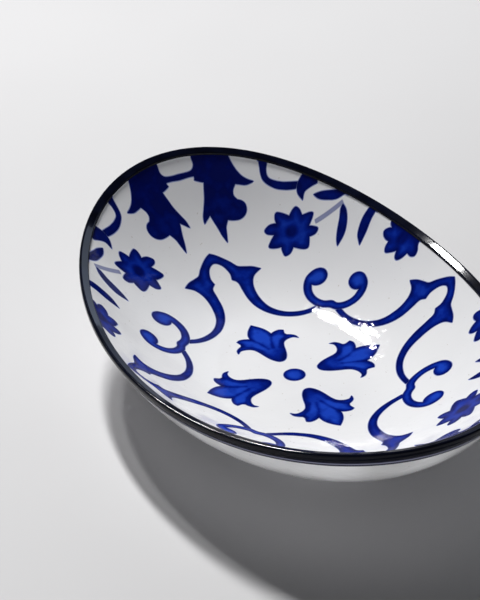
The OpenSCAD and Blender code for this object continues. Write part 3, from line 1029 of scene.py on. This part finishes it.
def from_window(left, height):
    """The direction to a light, by its angle to the left of straight away and its angle upwards."""
    left, height = math.radians(left), math.radians(height)
    level = away * math.cos(left) - to_right * math.sin(left)
    return level * math.cos(height) + Vector((0, 0, math.sin(height)))


def lit_pieces(name, state):
    """A collection that keeps a lamp to the dark band, or keeps it off the band."""
    chosen = bpy.data.collections.new(name)
    chosen.objects.link(lip_band)
    chosen.collection_objects[0].light_linking.link_state = state
    return chosen


lip_alone = lit_pieces("lip_alone", "INCLUDE")
all_but_lip = lit_pieces("all_but_lip", "EXCLUDE")
print("straight away and up at 45 degrees is", [round(c, 2) for c in from_window(0, 45)])

# %% [markdown]
# The light is a window of two panes behind the dish and a little to the left, so the shadow falls
# towards the camera and to the right. The glint on the floor of the dish is their mirror image, so they
# are placed from it. A long low card in front lifts the shaded outer wall and is hidden from
# reflections. A dim card on the right is there for the left wall to mirror.

# %% Window panes and cards
GLINT = Vector((-0.006, 0.0155, 0.006))
WINDOW_FAR, WATTS_PER_AREA = 0.9, 790
PANES = ((23, 50.8, (0.055, 0.195)), (33.5, 48, (0.042, 0.055)))
CARD_PLACE = away * -0.54 + Vector((0, 0, 0.0125))
CARD_TARGET = Vector((0, 0, 0.017))
COOL_WHITE = (0.88, 0.94, 1)

for left, height, size in PANES:
    place = GLINT + from_window(left, height) * WINDOW_FAR
    pane = area_light("window_pane", place, GLINT, size, WATTS_PER_AREA * size[0] * size[1])
    pane.light_linking.receiver_collection = all_but_lip
card = area_light("low_card", CARD_PLACE, CARD_TARGET, (1.26, 0.0234), 1.28)
card.visible_camera = False
card.visible_glossy = False
wall_place = from_window(-26, 28) * WINDOW_FAR
wall_card = area_light("wall_card", wall_place, Vector(), (0.5, 0.6), 0.55, COOL_WHITE)
wall_card.light_linking.receiver_collection = all_but_lip

# %% [markdown]
# The dark band has four lights that reach nothing else. One pane gives the bright stretch on the far lip
# and part of the white line on the near lip, a second pane carries that line on to the left, and two
# dim blue cards give the grey on the left side. Each is placed by its direction from a spot on the lip.

# %% Lights of the dark band
FAR_LIP = Vector((-0.0053, 0.0352, 0.018))
NEAR_LIP = Vector((0.0205, -0.0332, 0.019))
PLAIN_WHITE, SKY_BLUE = (1, 1, 1), (0.66, 0.78, 1)

for name, target, left, height, size, watts, colour in (
    ("lip_pane", FAR_LIP, 28.1, 47.5, (0.055, 0.095), 9.0, PLAIN_WHITE),
    ("near_lip_pane", NEAR_LIP, 38, 43.85, (0.05, 0.083), 7.0, PLAIN_WHITE),
    ("upper_card", FAR_LIP, -27, 34, (0.4, 0.4), 1.4, SKY_BLUE),
    ("lower_card", FAR_LIP, -17, 13, (0.4, 0.28), 0.26, SKY_BLUE),
):
    place = target + from_window(left, height) * WINDOW_FAR
    lamp = area_light(name, place, target, size, watts, colour)
    lamp.light_linking.receiver_collection = lip_alone

# %% [markdown]
# A weak sky fills what the lamps leave dark. It glows low down behind the camera and is dim elsewhere,
# because an even sky would wash out the shadow and lay a veil of reflection over all the blue. The
# colours are shown by the Standard view, as they are written.

# %% Sky
world = bpy.data.worlds.new("sky")
world.use_nodes = True
tree = world.node_tree
sky = tree.nodes["Background"]
sky.inputs["Color"].default_value = (0.93, 0.95, 1, 1)
direction = tree.nodes.new("ShaderNodeTexCoord")
upward = tree.nodes.new("ShaderNodeSeparateXYZ")
tree.links.new(direction.outputs["Generated"], upward.inputs["Vector"])
towards = tree.nodes.new("ShaderNodeVectorMath")
towards.operation = "DOT_PRODUCT"
towards.inputs[1].default_value = -away
tree.links.new(direction.outputs["Generated"], towards.inputs[0])
near_glow = spread(tree, towards.outputs["Value"], 0.2, 0.9, -0.2, 0.7)
low_glow = spread(tree, upward.outputs["Z"], 1.0, 0.06, 0.0, 0.4)
tree.links.new(calculate(tree, "MULTIPLY", low_glow, near_glow), sky.inputs["Strength"])
bpy.context.scene.world = world
bpy.context.scene.view_settings.view_transform = "Standard"
print("sky of", len(tree.nodes), "nodes and", len(bpy.data.lights), "lamps")
